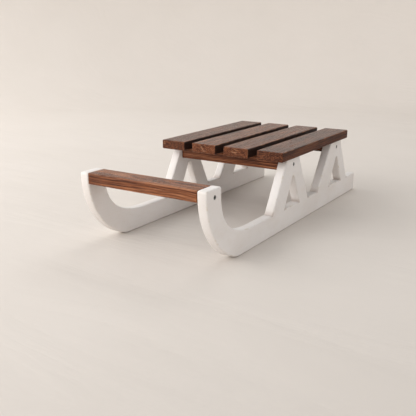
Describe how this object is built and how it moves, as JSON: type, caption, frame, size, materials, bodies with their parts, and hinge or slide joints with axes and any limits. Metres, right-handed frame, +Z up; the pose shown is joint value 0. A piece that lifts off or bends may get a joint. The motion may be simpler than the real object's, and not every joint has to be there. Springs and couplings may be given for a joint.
{
  "type": "wooden toboggan",
  "caption": "Wooden toboggan with two upswept runner boards, A-shaped uprights, a front cross bar and a raised slatted seat, held together by wood screws.",
  "frame": {"origin": "on the ground, under the middle of the toboggan's length and width", "axes": "+X to the rider's left when facing forwards, +Y from the nose to the tail, +Z up; the front faces -Y"},
  "size_m": [0.3, 0.72, 0.17],
  "materials": {
    "painted_wood": "thin satin off-white paint over smooth timber",
    "stained_pine": "satin dark brown stain with visible grain",
    "screw_steel": "plain zinc-plated steel"
  },
  "bodies": {
    "root": {"runner_left": "painted_wood", "runner_right": "painted_wood", "front_bar": "stained_pine", "front_batten": "stained_pine", "rear_batten": "stained_pine", "seat_slat_1": "stained_pine", "seat_slat_2": "stained_pine", "seat_slat_3": "stained_pine", "seat_slat_4": "stained_pine", "nose_screw_left": "screw_steel", "nose_screw_right": "screw_steel", "upright_screw_left_1": "screw_steel", "upright_screw_left_2": "screw_steel", "upright_screw_right_1": "screw_steel", "upright_screw_right_2": "screw_steel", "slat_screw_1_1": "screw_steel", "slat_screw_2_1": "screw_steel", "slat_screw_3_1": "screw_steel", "slat_screw_4_1": "screw_steel", "slat_screw_1_2": "screw_steel", "slat_screw_2_2": "screw_steel", "slat_screw_3_2": "screw_steel", "slat_screw_4_2": "screw_steel"}
  },
  "joints": []
}
